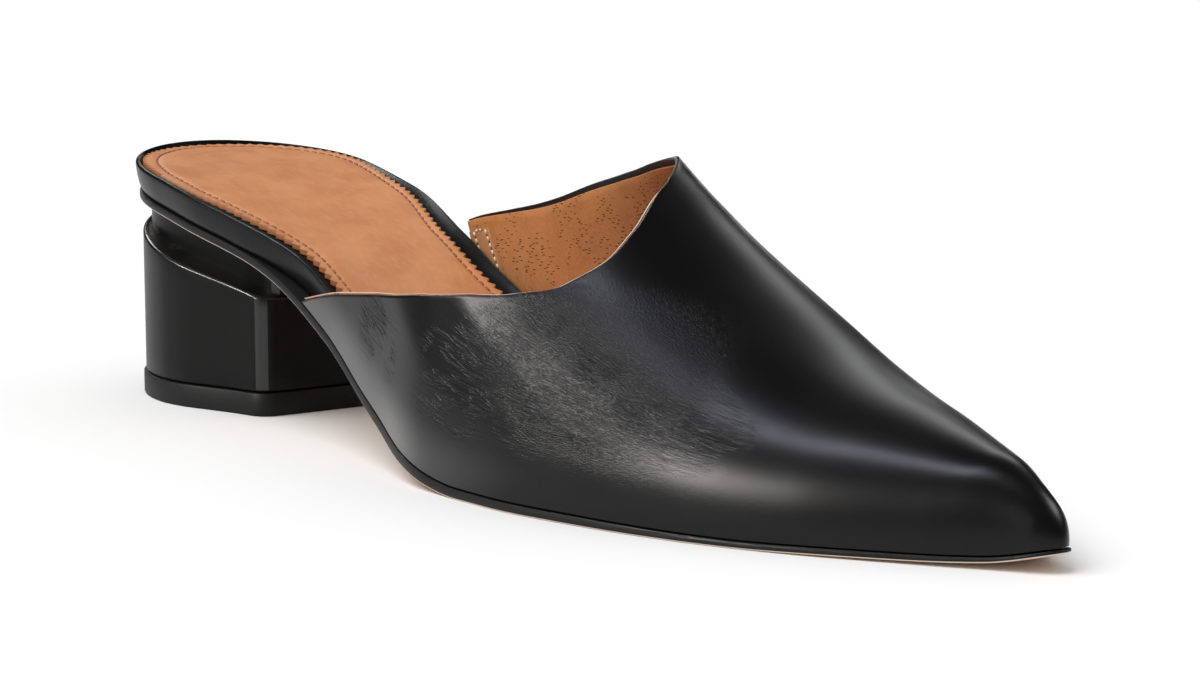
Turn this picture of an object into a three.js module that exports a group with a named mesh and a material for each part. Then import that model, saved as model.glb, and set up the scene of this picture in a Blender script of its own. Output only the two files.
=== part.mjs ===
// Pointed mule on a low block heel, the right shoe of a pair, standing on its sole
// Millimetres, +Z up, the toe towards +X and the inner (medial) side of the foot towards +Y
import * as THREE from 'three';

// Plan sizes of the sole
const shoeLength = 256.6;      // back of the outsole to the tip of its toe
const seatWidth = 53.4;       // across the heel seat
const waistWidth = 46.3;      // across the waist, under the arch
const ballWidth = 72;         // across the ball of the foot
const heelArc = 30;           // length of the round back end of the sole
const toeArc = 3.5;           // length of the rounded tip
const toeDrift = 5.7;         // how far the tip stands off the long axis, towards the inner side
const toePull = 2.1;          // an edge set in by 1 mm draws the pointed tip back by this much

// Heights of the last
const heelRise = 43.6;        // floor to the underside of the outsole, at the back
const toeSpring = 3.3;        // floor to the underside of the outsole, at the tip
const instepHeight = 71.7;    // feather line to the ridge of the last, at the instep
const toeHeight = 10.8;       // feather line to the ridge, just behind the nose
const noseLength = 15;        // length over which the nose rounds down to the feather line
const ridgeOffset = 5.6;      // how far the ridge stands off the long axis, towards the inner side

// Thicknesses and fits
const outsoleThickness = 2.1; // at the ball, where it is thickest
const footbedThickness = 5.9; // wrapped board under the heel
const sockThickness = 0.8;
const upperWall = 1.8;        // outer leather and lining together
const soleLip = 0.2;          // outsole edge past the upper, all round
const rimOverhang = 0.6;      // footbed rim past the outsole edge, round the heel
const rimUndercut = 0.9;      // how much the rim draws in towards its foot
const waistInset = 0.3;       // share of that undercut left partway up the rim's side
const waistLevel = 0.45;      // and how far up, as a share of its height
const rimRound = 0.7;         // rounding of the rim's top edge
const dish = 1.1;             // hollow of the footbed across its middle
const dishWidth = 0.6;        // the hollow is full where the sole is wider than this share of the seat
const sockSeat = 0.8;         // depth of the shallow seat that the sock lies in
const sockSeatLean = 0.5;     // how far the seat's side leans in for each mm of depth
const sockMargin = 0.4;       // room between the sock and the side of its seat
const sockToe = 20;           // sock stops this far short of the tip
const sockDraw = { lateral: 1, medial: 3.2 };  // its edge stands this much further in at the waist
const sockDrawOut = { from: 0.06, to: 0.29 };  // shares of the length over which it draws in
const sockDrawBack = { from: 0.50, to: 0.80 }; // and over which it comes back to the rim's line
const seam = 0.3;             // space between pieces that are cemented together

// Heel
const breastLine = 60.5;      // back of the sole to the front face of the heel
const breastSkew = 0.07;      // slant of that face: forward for each mm towards the inner side
const heelBackInset = 2.2;    // back of the block in from the back of the outsole
const heelSideInset = 0.6;    // sides of the block in from the seat's edge
const heelShift = -1.2;       // middle of the heel off the long axis
const neckDropBack = 4.7;     // height of the recessed neck at the back
const neckDropFront = 9.2;    // and at the front face
const neckSideInset = 5.8;    // neck in from the sides of the block
const neckBackInset = 1.6;    // neck in from its back
const neckFrontInset = 1.6;   // neck in from its front face
const blockEdge = 0.7;        // rounding of the block's edges
const topliftThickness = 4.8;
const topliftProud = 0.5;     // toplift out past the block

// How finely the forms are cut
const stations = 54;          // along each sole piece
const heelStations = 22;      // along the heel
const acrossFootbed = 5;      // across the hollow of the footbed
const upperRows = 30;         // from the topline to the toe
const upperColumns = 46;      // round the girth

// Half widths of the sole: at is a share of its length, the rest are shares of the row's width
const planRows = [
  { at: 0.000, width: seatWidth, lateral: 0.490, medial: 0.474 },
  { at: 0.094, width: seatWidth, lateral: 0.505, medial: 0.476 },
  { at: 0.170, width: seatWidth, lateral: 0.527, medial: 0.452 },
  { at: 0.264, width: waistWidth, lateral: 0.560, medial: 0.479 },
  { at: 0.358, width: waistWidth, lateral: 0.594, medial: 0.419 },
  { at: 0.453, width: waistWidth, lateral: 0.691, medial: 0.441 },
  { at: 0.547, width: ballWidth, lateral: 0.522, medial: 0.368 },
  { at: 0.623, width: ballWidth, lateral: 0.526, medial: 0.461 },
  { at: 0.698, width: ballWidth, lateral: 0.492, medial: 0.497 },
  { at: 0.774, width: ballWidth, lateral: 0.429, medial: 0.456 },
  { at: 0.849, width: ballWidth, lateral: 0.326, medial: 0.354 },
  { at: 0.925, width: ballWidth, lateral: 0.181, medial: 0.204 },
  { at: 0.974, width: ballWidth, lateral: 0.081, medial: 0.082 },
  { at: 1.000, width: ballWidth, lateral: 0.038, medial: 0.038 },
];

// Underside of the outsole above the floor, level under the ball so that the shoe stands on it
const bottomRows = [
  { at: 0.000, of: heelRise, rise: 1.000 },
  { at: 0.094, of: heelRise, rise: 0.933 },
  { at: 0.189, of: heelRise, rise: 0.833 },
  { at: 0.283, of: heelRise, rise: 0.677 },
  { at: 0.358, of: heelRise, rise: 0.482 },
  { at: 0.434, of: heelRise, rise: 0.246 },
  { at: 0.509, of: heelRise, rise: 0.071 },
  { at: 0.585, of: heelRise, rise: 0 },
  { at: 0.815, of: toeSpring, rise: 0 },
  { at: 0.868, of: toeSpring, rise: 0.080 },
  { at: 0.925, of: toeSpring, rise: 0.170 },
  { at: 0.960, of: toeSpring, rise: 0.330 },
  { at: 1.000, of: toeSpring, rise: 1.000 },
];

// Where the footbed's rim has gone in under the upper, on each side
const coverRows = { lateral: 0.322, medial: 0.291 };
const coverLength = 24;       // length over which it goes in

// The plan's bands grow towards the pointed toe, where an edge crosses them at a slant
const taperStart = 0.75;
const taperEnd = 0.90;
const taperStretch = 1.14;
const driftStart = 0.453;     // share of the length from which the long axis drifts

// Thickness of the two sole layers, as shares of their own sizes
const layerRows = [
  { at: 0.00, outsole: 0.83, footbed: 1.00 },
  { at: 0.40, outsole: 0.83, footbed: 1.00 },
  { at: 0.50, outsole: 1.00, footbed: 0.90 },
  { at: 0.60, outsole: 0.90, footbed: 0.75 },
  { at: 0.70, outsole: 0.81, footbed: 0.66 },
  { at: 0.80, outsole: 0.64, footbed: 0.60 },
  { at: 0.90, outsole: 0.57, footbed: 0.55 },
  { at: 1.00, outsole: 0.40, footbed: 0.50 },
];

// Ridge of the last above the feather line
const ridgeRows = [
  { at: 0.226, of: instepHeight, rise: 0.855 },
  { at: 0.302, of: instepHeight, rise: 0.910 },
  { at: 0.378, of: instepHeight, rise: 0.973 },
  { at: 0.434, of: instepHeight, rise: 1.001 },
  { at: 0.491, of: instepHeight, rise: 0.995 },
  { at: 0.566, of: instepHeight, rise: 0.866 },
  { at: 0.604, of: instepHeight, rise: 0.753 },
  { at: 0.642, of: instepHeight, rise: 0.650 },
  { at: 0.717, of: instepHeight, rise: 0.486 },
  { at: 0.792, of: instepHeight, rise: 0.359 },
  { at: 0.868, of: instepHeight, rise: 0.281 },
  { at: 0.925, of: toeHeight, rise: 1.510 },
  { at: 0.965, of: toeHeight, rise: 1.270 },
  { at: 1.000, of: toeHeight, rise: 1.050 },
];

// Topline: girth runs from the lateral feather (0) over the ridge (0.5) to the medial one (1),
// and at says how far along the shoe the upper begins there, as a share of its length
const toplineRows = [
  { girth: 0.000, at: 0.3235 },
  { girth: 0.054, at: 0.4155 },
  { girth: 0.128, at: 0.5430 },
  { girth: 0.193, at: 0.6095 },
  { girth: 0.250, at: 0.6385 },
  { girth: 0.320, at: 0.6471 },
  { girth: 0.386, at: 0.6394 },
  { girth: 0.475, at: 0.6172 },
  { girth: 0.589, at: 0.5929 },
  { girth: 0.696, at: 0.5598 },
  { girth: 0.785, at: 0.5149 },
  { girth: 0.842, at: 0.4626 },
  { girth: 0.912, at: 0.3830 },
  { girth: 0.970, at: 0.2905 },
];
const medialHem = 0.316;      // where the short back edge of the medial quarter meets the sole

// Half widths of the heel from its back (0) to its front face (1), as shares of its half width
const heelRows = [
  { at: 0.00, block: 1.000, neck: 1.000 },
  { at: 0.36, block: 1.000, neck: 1.000 },
  { at: 0.50, block: 1.000, neck: 0.975 },
  { at: 0.61, block: 0.980, neck: 0.920 },
  { at: 0.72, block: 0.910, neck: 0.855 },
  { at: 0.84, block: 0.825, neck: 0.790 },
  { at: 1.00, block: 0.740, neck: 0.765 },
];
const blockArc = 0.54;        // share of the block's length taken by its round back
const neckArc = 0.38;         // and of the neck's
const neckPower = 2.3;        // a rounder or squarer back to the neck
const breastCorner = 3.2;     // radius of the two front corners

// Fullness of the upper's sections
const wallFullness = 0.75;    // how far the side stands up before it turns in
const topFullness = 0.45;     // how far the top runs out before it turns down
const sideSwell = 0.04;       // outward lean of the side for each mm of height
const noseBlendStart = 0.80;  // the wall is measured level, not square, from here to the nose
const noseBlendEnd = 0.92;

// A smooth curve through table rows that never overshoots them
function curveThrough(rows, xOf, yOf) {
  const xs = rows.map(xOf);
  const ys = rows.map(yOf);
  const steps = xs.slice(1).map((x, i) => x - xs[i]);
  const slopes = steps.map((step, i) => (ys[i + 1] - ys[i]) / step);
  const tangents = xs.map((x, i) => {
    if (i === 0) return slopes[0];
    if (i === xs.length - 1) return slopes[i - 1];
    if (slopes[i - 1] * slopes[i] <= 0) return 0;
    const before = 2 * steps[i] + steps[i - 1];
    const after = steps[i] + 2 * steps[i - 1];
    return (before + after) / (before / slopes[i - 1] + after / slopes[i]);
  });
  return (x) => {
    if (x <= xs[0]) return ys[0] + tangents[0] * (x - xs[0]);
    let i = 0;
    while (i < steps.length - 1 && x > xs[i + 1]) i += 1;
    const t = (x - xs[i]) / steps[i];
    const rise = ys[i + 1] - ys[i];
    const a = steps[i] * tangents[i] - rise;
    const b = rise - steps[i] * tangents[i + 1];
    return ys[i] + rise * t + t * (1 - t) * (a * (1 - t) + b * t);
  };
}

const alongShoe = (row) => row.at * shoeLength;
const lateralBody = curveThrough(planRows, alongShoe, (row) => row.lateral * row.width);
const medialBody = curveThrough(planRows, alongShoe, (row) => row.medial * row.width);
const soleBottom = curveThrough(bottomRows, alongShoe, (row) => row.rise * row.of);
const outsoleShare = curveThrough(layerRows, alongShoe, (row) => row.outsole);
const footbedShare = curveThrough(layerRows, alongShoe, (row) => row.footbed);
const ridgeRise = curveThrough(ridgeRows, alongShoe, (row) => row.rise * row.of);
const toplineBegin = curveThrough(toplineRows, (row) => row.girth, alongShoe);

const lerp = THREE.MathUtils.lerp;
const smoothstep = THREE.MathUtils.smoothstep;

// Rounded end of an outline: 0 at the end itself, 1 from one arc length inwards
function roundEnd(distance, arc, power = 2) {
  if (distance >= arc) return 1;
  return (1 - (1 - Math.max(distance, 0) / arc) ** power) ** (1 / power);
}

// Long axis of the sole, which drifts to the inner side from the ball forward
function soleAxis(x) {
  const ballStart = driftStart * shoeLength;
  return toeDrift * Math.max(0, (x - ballStart) / (shoeLength - ballStart)) ** 2;
}

// Height that a layer of the given thickness takes where the sole slopes
function slopeStretch(x) {
  const step = 1;
  return Math.hypot(1, (soleBottom(x + step) - soleBottom(x - step)) / (2 * step));
}
const outsoleTop = (x) => soleBottom(x) + outsoleThickness * outsoleShare(x) * slopeStretch(x);
const footbedBottom = (x) => outsoleTop(x) + seam;
const footbedTop = (x) => footbedBottom(x) + footbedThickness * footbedShare(x) * slopeStretch(x);
const feather = (x) => outsoleTop(x) + seam;

// One station of the sole's outline, set in by a distance: v runs from heel (0) to toe (1)
function planStation(v, inset, toeStop = 0) {
  const heelEnd = inset;
  const toeEnd = shoeLength - toePull * inset - toeStop;
  const x = lerp(heelEnd, toeEnd, (1 - Math.cos(Math.PI * v)) / 2);
  const tipArc = toeArc + toeStop;
  const ends = roundEnd(x - heelEnd, heelArc) * roundEnd(toeEnd - x, tipArc);
  const toeward = smoothstep(x, taperStart * shoeLength, taperEnd * shoeLength);
  const setIn = inset * lerp(1, taperStretch, toeward);
  return {
    x,
    lateral: soleAxis(x) - (lateralBody(x) - setIn) * ends,
    medial: soleAxis(x) + (medialBody(x) - setIn) * ends,
  };
}

// A closed outline as two sides that share their first and last points
function planLoop(insetAt, heightAt, toeStop = 0) {
  const loop = { lateral: [], medial: [] };
  for (let i = 0; i <= stations; i += 1) {
    const v = i / stations;
    for (const side of ['lateral', 'medial']) {
      const inset = insetAt(planStation(v, 0, toeStop).x, side);
      const station = planStation(v, inset, toeStop);
      loop[side].push(new THREE.Vector3(station.x, station[side], heightAt(station.x)));
    }
  }
  return loop;
}

// Gathers faces into one indexed, closed geometry
function closedGeometry(triangles) {
  const found = new Map();
  const positions = [];
  const indices = [];
  const vertexOf = (point) => {
    const key = point.toArray().map((value) => Math.round(value * 1e4)).join(' ');
    if (!found.has(key)) {
      found.set(key, positions.length / 3);
      positions.push(point.x, point.y, point.z);
    }
    return found.get(key);
  };
  for (const corners of triangles) {
    const [a, b, c] = corners.map(vertexOf);
    if (a !== b && b !== c && c !== a) indices.push(a, b, c);
  }
  const geometry = new THREE.BufferGeometry();
  geometry.setAttribute('position', new THREE.Float32BufferAttribute(positions, 3));
  geometry.setIndex(indices);
  geometry.computeVertexNormals();
  return geometry;
}

// Faces between two rows of points
function sheet(rowA, rowB) {
  const triangles = [];
  for (let i = 0; i < rowA.length - 1; i += 1) {
    triangles.push([rowA[i], rowB[i], rowB[i + 1]]);
    triangles.push([rowA[i], rowB[i + 1], rowA[i + 1]]);
  }
  return triangles;
}

// Faces across an outline, hollowed by hollowAt in its middle
function lid(loop, faceUp, steps, hollow) {
  const triangles = [];
  const rows = loop.lateral.map((lateral, i) => {
    const row = [];
    for (let k = 0; k <= steps; k += 1) {
      const share = k / steps;
      const point = lateral.clone().lerp(loop.medial[i], share);
      const width = lateral.distanceTo(loop.medial[i]);
      const depth = hollow * smoothstep(width, 0, dishWidth * seatWidth);
      point.z -= depth * 4 * share * (1 - share);
      row.push(point);
    }
    return row;
  });
  for (let i = 0; i < rows.length - 1; i += 1) {
    triangles.push(...(faceUp ? sheet(rows[i], rows[i + 1]) : sheet(rows[i + 1], rows[i])));
  }
  return triangles;
}

// A solid stacked from outlines, bottom first
function stack(loops, { steps = 1, hollowTop = 0, hollowBottom = 0 } = {}) {
  const triangles = lid(loops[0], false, steps, hollowBottom);
  for (let i = 0; i < loops.length - 1; i += 1) {
    triangles.push(...sheet(loops[i + 1].lateral, loops[i].lateral));
    triangles.push(...sheet(loops[i].medial, loops[i + 1].medial));
  }
  triangles.push(...lid(loops[loops.length - 1], true, steps, hollowTop));
  return closedGeometry(triangles);
}

function outsoleGeometry() {
  const edge = () => 0;
  return stack([planLoop(edge, soleBottom), planLoop(edge, outsoleTop)]);
}

// How far the footbed's side stands in: at the rim round the heel, inside the upper further on
function footbedInset(x, side) {
  const hidden = soleLip + upperWall + seam;
  const coverEnd = coverRows[side] * shoeLength;
  return lerp(-rimOverhang, hidden, smoothstep(x, coverEnd - coverLength, coverEnd));
}

// The sock lies in a shallow seat inside the rim
const sockSeatInset = rimRound + sockSeat * sockSeatLean;
function seatInset(x, side) {
  const drawn = smoothstep(x, sockDrawOut.from * shoeLength, sockDrawOut.to * shoeLength)
    - smoothstep(x, sockDrawBack.from * shoeLength, sockDrawBack.to * shoeLength);
  return footbedInset(x, side) + sockSeatInset + sockDraw[side] * drawn;
}
const sockFloor = (x) => footbedTop(x) - sockSeat;

function footbedGeometry() {
  const level = (share) => (x) => lerp(footbedBottom(x), footbedTop(x), share);
  const setIn = (extra) => (x, side) => footbedInset(x, side) + extra;
  const roundShare = 1 - rimRound / footbedThickness;
  return stack([
    planLoop(setIn(rimUndercut), level(0)),
    planLoop(setIn(waistInset * rimUndercut), level(waistLevel)),
    planLoop(setIn(0), level(roundShare)),
    planLoop(setIn(rimRound), level(1)),
    planLoop(seatInset, sockFloor),
  ], { steps: acrossFootbed, hollowTop: dish });
}

function sockGeometry() {
  const setIn = (x, side) => seatInset(x, side) + sockMargin;
  const bottom = (x) => sockFloor(x) + seam;
  const top = (x) => bottom(x) + sockThickness * slopeStretch(x);
  return stack([planLoop(setIn, bottom, sockToe), planLoop(setIn, top, sockToe)], {
    steps: acrossFootbed,
    hollowTop: dish,
    hollowBottom: dish,
  });
}

// One outline of the heel; kind names the column of the heel table
function heelLoop({ kind, halfWidth, back, front, arc, power, corner, heightAt }) {
  const share = curveThrough(heelRows, (row) => row.at, (row) => row[kind]);
  const lateral = [];
  const medial = [];
  for (let i = 0; i <= heelStations; i += 1) {
    const at = (1 - Math.cos(Math.PI * i / heelStations)) / 2;
    const x = lerp(back, front, at);
    const cornerCut = corner * (1 - roundEnd(front - x, corner));
    const half = halfWidth * share(at) * roundEnd(x - back, arc * (front - back), power) - cornerCut;
    for (const [side, list] of [[-1, lateral], [1, medial]]) {
      const y = heelShift + side * half;
      const slant = breastSkew * y * at;
      list.push(new THREE.Vector3(x + slant, y, heightAt(x + slant)));
    }
  }
  // The front face closes on its own middle line
  const middle = lateral[heelStations].clone().lerp(medial[heelStations], 0.5);
  return { lateral: [...lateral, middle], medial: [...medial, middle] };
}

const blockHalfWidth = seatWidth / 2 - heelSideInset;
function blockLoop(inset, heightAt) {
  return heelLoop({
    kind: 'block',
    halfWidth: blockHalfWidth - inset,
    back: heelBackInset + inset,
    front: breastLine - inset,
    arc: blockArc,
    power: 2,
    corner: breastCorner,
    heightAt,
  });
}
function neckLoop(heightAt) {
  return heelLoop({
    kind: 'neck',
    halfWidth: blockHalfWidth - neckSideInset,
    back: heelBackInset + neckBackInset,
    front: breastLine - neckFrontInset,
    arc: neckArc,
    power: neckPower,
    corner: breastCorner,
    heightAt,
  });
}

// Sloping top of the block, which leaves the neck standing under the seat
function shelf(x) {
  const backHeight = soleBottom(heelBackInset) - neckDropBack;
  const frontHeight = soleBottom(breastLine) - neckDropFront;
  return lerp(backHeight, frontHeight, (x - heelBackInset) / (breastLine - heelBackInset));
}

function heelGeometry() {
  const foot = topliftThickness + seam;
  return stack([
    blockLoop(0, () => foot),
    blockLoop(0, (x) => shelf(x) - blockEdge),
    blockLoop(blockEdge, shelf),
    neckLoop(shelf),
    neckLoop((x) => soleBottom(x) - seam),
  ]);
}

function topliftGeometry() {
  return stack([
    blockLoop(-topliftProud, () => 0),
    blockLoop(-topliftProud, () => topliftThickness),
  ]);
}

// A point of the upper's outer or inner face: v runs to the nose, girth over the ridge
function upperSection(v, girth, depth) {
  const station = planStation(v, soleLip + depth);
  const toeEnd = shoeLength - toePull * (soleLip + depth);
  const x = station.x;
  const base = feather(x);
  const slope = (ridgeRise(x + 1) - ridgeRise(x - 1)) / 2;
  const height = (ridgeRise(x) - depth * Math.hypot(1, slope)) * roundEnd(toeEnd - x, noseLength);
  const onLateral = girth < 0.5;
  const side = onLateral ? -1 : 1;
  const footY = onLateral ? station.lateral : station.medial;
  const noseward = smoothstep(x, noseBlendEnd * shoeLength, toeEnd);
  const middle = (station.lateral + station.medial) / 2;
  const ridgeY = lerp(ridgeOffset, middle, noseward);
  const halfWidth = Math.abs(footY - ridgeY);
  const t = onLateral ? 2 * girth : 2 * (1 - girth);
  const curve = new THREE.CubicBezierCurve(
    new THREE.Vector2(footY, base),
    new THREE.Vector2(footY + side * sideSwell * height, base + wallFullness * height),
    new THREE.Vector2(ridgeY + side * topFullness * halfWidth, base + height),
    new THREE.Vector2(ridgeY, base + height),
  );
  const point = curve.getPoint(t);
  return new THREE.Vector3(x, point.x, point.y);
}

// The outward direction square to the outer face
function upperNormal(v, girth) {
  const step = 1e-3;
  const along = upperSection(v + step, girth, 0).sub(upperSection(v - step, girth, 0));
  const low = Math.max(girth - step, 0);
  const high = Math.min(girth + step, 1);
  const round = upperSection(v, high, 0).sub(upperSection(v, low, 0));
  return round.cross(along).negate().normalize();
}

function upperInside(v, girth) {
  const level = upperSection(v, girth, upperWall);
  const x = upperSection(v, girth, 0).x;
  const noseward = smoothstep(x, noseBlendStart * shoeLength, noseBlendEnd * shoeLength);
  if (noseward === 1) return level;
  const square = upperSection(v, girth, 0).addScaledVector(upperNormal(v, girth), -upperWall);
  return square.lerp(level, noseward);
}

// Where the upper begins at each place round its girth
function upperBegin(girth) {
  const corner = toplineRows[toplineRows.length - 1].girth;
  if (girth <= corner) return toplineBegin(girth);
  return lerp(toplineBegin(corner), medialHem * shoeLength, (girth - corner) / (1 - corner));
}

function upperGeometry() {
  const corner = toplineRows[toplineRows.length - 1].girth;
  const outside = [];
  const inside = [];
  for (let i = 0; i <= upperRows; i += 1) {
    const outerRow = [];
    const innerRow = [];
    for (let k = 0; k <= upperColumns; k += 1) {
      const girth = k === upperColumns ? 1 : corner * k / (upperColumns - 1);
      const begin = Math.acos(1 - 2 * upperBegin(girth) / shoeLength) / Math.PI;
      const v = lerp(begin, 1, i / upperRows);
      outerRow.push(upperSection(v, girth, 0));
      innerRow.push(upperInside(v, girth));
    }
    outside.push(outerRow);
    inside.push(innerRow);
  }
  const triangles = [];
  for (let i = 0; i < upperRows; i += 1) {
    triangles.push(...sheet(outside[i], outside[i + 1]));
    triangles.push(...sheet(inside[i + 1], inside[i]));
  }
  const lateralHem = (grid) => grid.map((row) => row[0]);
  const medialHemLine = (grid) => grid.map((row) => row[upperColumns]);
  triangles.push(...sheet(inside[0], outside[0]));
  triangles.push(...sheet(lateralHem(outside), lateralHem(inside)));
  triangles.push(...sheet(medialHemLine(inside), medialHemLine(outside)));
  return closedGeometry(triangles);
}

// Finishes
const blackLeather = { color: 0x1b1a1b, roughness: 0.38, metalness: 0 };
const tanLeather = { color: 0xb9744a, roughness: 0.6, metalness: 0 };
const blackEdge = { color: 0x17161a, roughness: 0.45, metalness: 0 };
const blackHeel = { color: 0x1c1c1d, roughness: 0.35, metalness: 0 };
const blackRubber = { color: 0x141414, roughness: 0.6, metalness: 0 };

const pieces = [
  { name: 'outsole', geometry: outsoleGeometry(), finish: blackEdge },
  { name: 'footbed', geometry: footbedGeometry(), finish: blackLeather },
  { name: 'sock', geometry: sockGeometry(), finish: tanLeather },
  { name: 'upper', geometry: upperGeometry(), finish: blackLeather },
  { name: 'heel_block', geometry: heelGeometry(), finish: blackHeel },
  { name: 'toplift', geometry: topliftGeometry(), finish: blackRubber },
];

const shoe = new THREE.Group();
for (const { name, geometry, finish } of pieces) {
  const mesh = new THREE.Mesh(geometry, new THREE.MeshStandardMaterial(finish));
  mesh.name = name;
  shoe.add(mesh);
}

// The origin is the middle of the footprint, on the floor
const extent = new THREE.Box3().setFromObject(shoe);
const centre = extent.getCenter(new THREE.Vector3());
shoe.position.set(-centre.x, -centre.y, -extent.min.z);

const group = new THREE.Group();
group.add(shoe);
export default group;
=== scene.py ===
# Pointed leather mule on a low block heel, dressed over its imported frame
import bisect
import math

import bmesh
import bpy
from mathutils import Matrix, Vector


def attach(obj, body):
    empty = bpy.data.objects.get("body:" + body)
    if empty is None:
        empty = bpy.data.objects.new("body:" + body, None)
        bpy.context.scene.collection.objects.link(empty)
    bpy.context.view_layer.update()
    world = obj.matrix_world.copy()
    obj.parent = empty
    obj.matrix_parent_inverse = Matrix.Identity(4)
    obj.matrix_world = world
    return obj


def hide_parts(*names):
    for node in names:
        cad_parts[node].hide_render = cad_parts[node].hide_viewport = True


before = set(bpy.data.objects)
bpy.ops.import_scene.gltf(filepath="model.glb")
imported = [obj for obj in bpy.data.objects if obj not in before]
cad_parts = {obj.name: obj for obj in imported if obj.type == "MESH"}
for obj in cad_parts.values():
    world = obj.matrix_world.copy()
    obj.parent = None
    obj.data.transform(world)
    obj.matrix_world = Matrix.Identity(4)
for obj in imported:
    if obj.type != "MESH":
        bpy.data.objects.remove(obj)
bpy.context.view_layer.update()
mm = 0.001
print("frame loaded")

# Sizes of the last and the sole, in millimetres, the same as the frame's
last = {
    "length": 256.6, "seat": 53.4, "waist": 46.3, "ball": 72.0,
    "heelArc": 30.0, "toeArc": 3.5, "toeDrift": 5.7, "toePull": 2.1,
    "heelRise": 43.6, "toeSpring": 3.3, "instep": 71.7, "toeHeight": 10.8,
    "nose": 15.0, "ridgeOffset": 5.6, "outsole": 2.1, "footbed": 5.9,
    "wall": 1.8, "lip": 0.2, "rimOverhang": 0.6, "rimUndercut": 0.9,
    "rimRound": 0.7, "dish": 1.1, "dishWidth": 0.6, "seam": 0.3,
    "sockDraw": {-1: 1.0, 1: 3.2}, "drawOut": (0.06, 0.29), "drawBack": (0.50, 0.80),
    "driftStart": 0.453, "coverLateral": 0.322, "coverMedial": 0.291, "coverLength": 24.0,
    "toeTuck": 1.14, "tuckRun": (0.75, 0.90),  # the last's toe is set in a little more than its waist
    "middle": Vector((-128.0, 0.2658, 0.0)),  # from the back of the sole to the frame's origin
}

# share of the length, the width it goes by, lateral and medial half width as shares of that width
planRows = [
    (0.000, "seat", 0.490, 0.474), (0.094, "seat", 0.505, 0.476), (0.170, "seat", 0.527, 0.452),
    (0.264, "waist", 0.560, 0.479), (0.358, "waist", 0.594, 0.419), (0.453, "waist", 0.691, 0.441),
    (0.547, "ball", 0.522, 0.368), (0.623, "ball", 0.526, 0.461), (0.698, "ball", 0.492, 0.497),
    (0.774, "ball", 0.429, 0.456), (0.849, "ball", 0.326, 0.354), (0.925, "ball", 0.181, 0.204),
    (0.974, "ball", 0.081, 0.082), (1.000, "ball", 0.038, 0.038),
]
# share of the length, the height it goes by, height of the sole's underside as a share of that
bottomRows = [
    (0.000, "heelRise", 1.000), (0.094, "heelRise", 0.933), (0.189, "heelRise", 0.833),
    (0.283, "heelRise", 0.677), (0.358, "heelRise", 0.482), (0.434, "heelRise", 0.246),
    (0.509, "heelRise", 0.071), (0.585, "heelRise", 0.0), (0.815, "toeSpring", 0.0),
    (0.868, "toeSpring", 0.080), (0.925, "toeSpring", 0.170), (0.960, "toeSpring", 0.330),
    (1.000, "toeSpring", 1.000),
]
# share of the length, thickness of the outsole and of the footbed as shares of their full ones
layerRows = [
    (0.00, 0.83, 1.00), (0.40, 0.83, 1.00), (0.50, 1.00, 0.90), (0.60, 0.90, 0.75),
    (0.70, 0.81, 0.66), (0.80, 0.64, 0.60), (0.90, 0.57, 0.55), (1.00, 0.40, 0.50),
]
# share of the length, the height it goes by, height of the upper's ridge as a share of that
ridgeRows = [
    (0.226, "instep", 0.855), (0.302, "instep", 0.910), (0.378, "instep", 0.973),
    (0.434, "instep", 1.001), (0.491, "instep", 0.995), (0.566, "instep", 0.866),
    (0.604, "instep", 0.753), (0.642, "instep", 0.650), (0.717, "instep", 0.486),
    (0.792, "instep", 0.359), (0.868, "instep", 0.281), (0.925, "toeHeight", 1.510),
    (0.965, "toeHeight", 1.270), (1.000, "toeHeight", 1.050),
]
# girth from the lateral hem over the ridge to the medial hem, share of the length
toplineRows = [
    (0.000, 0.3235), (0.054, 0.4155), (0.128, 0.5430), (0.193, 0.6095),
    (0.250, 0.6385), (0.320, 0.6471), (0.386, 0.6394), (0.475, 0.6172),
    (0.589, 0.5929), (0.696, 0.5598), (0.785, 0.5149), (0.842, 0.4626),
    (0.912, 0.3830), (0.970, 0.2905),
]
medialHem = 0.316


def curveThrough(pairs):
    # a smooth curve through all the pairs that doesn't swing past them
    xs = [p[0] for p in pairs]
    ys = [p[1] for p in pairs]
    steps = [b - a for a, b in zip(xs, xs[1:])]
    slopes = [(ys[i + 1] - ys[i]) / steps[i] for i in range(len(steps))]
    tangents = [slopes[0]]
    for i in range(1, len(xs) - 1):
        if slopes[i - 1] * slopes[i] <= 0:
            tangents.append(0.0)
        else:
            before = 2 * steps[i] + steps[i - 1]
            after = steps[i] + 2 * steps[i - 1]
            tangents.append((before + after) / (before / slopes[i - 1] + after / slopes[i]))
    tangents.append(slopes[-1])

    def at(x):
        if x <= xs[0]:
            return ys[0] + tangents[0] * (x - xs[0])
        i = min(bisect.bisect_left(xs, x, 1), len(xs) - 1) - 1
        t = (x - xs[i]) / steps[i]
        rise = ys[i + 1] - ys[i]
        a = steps[i] * tangents[i] - rise
        b = rise - steps[i] * tangents[i + 1]
        return ys[i] + rise * t + t * (1 - t) * (a * (1 - t) + b * t)

    return at


def along(rows, pick):
    return curveThrough([(row[0] * last["length"], pick(row)) for row in rows])


lateralBody = along(planRows, lambda row: row[2] * last[row[1]])
medialBody = along(planRows, lambda row: row[3] * last[row[1]])
soleBottom = along(bottomRows, lambda row: row[2] * last[row[1]])
outsoleShare = along(layerRows, lambda row: row[1])
footbedShare = along(layerRows, lambda row: row[2])
ridgeRise = along(ridgeRows, lambda row: row[2] * last[row[1]])
toplineBegin = curveThrough([(row[0], row[1] * last["length"]) for row in toplineRows])


def lerp(a, b, t):
    return a + (b - a) * t


def ramp(x, low, high):
    t = min(max((x - low) / (high - low), 0.0), 1.0)
    return t * t * (3 - 2 * t)


def hill(x, middle, width):
    return math.exp(-((x - middle) / width) ** 2)


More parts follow.
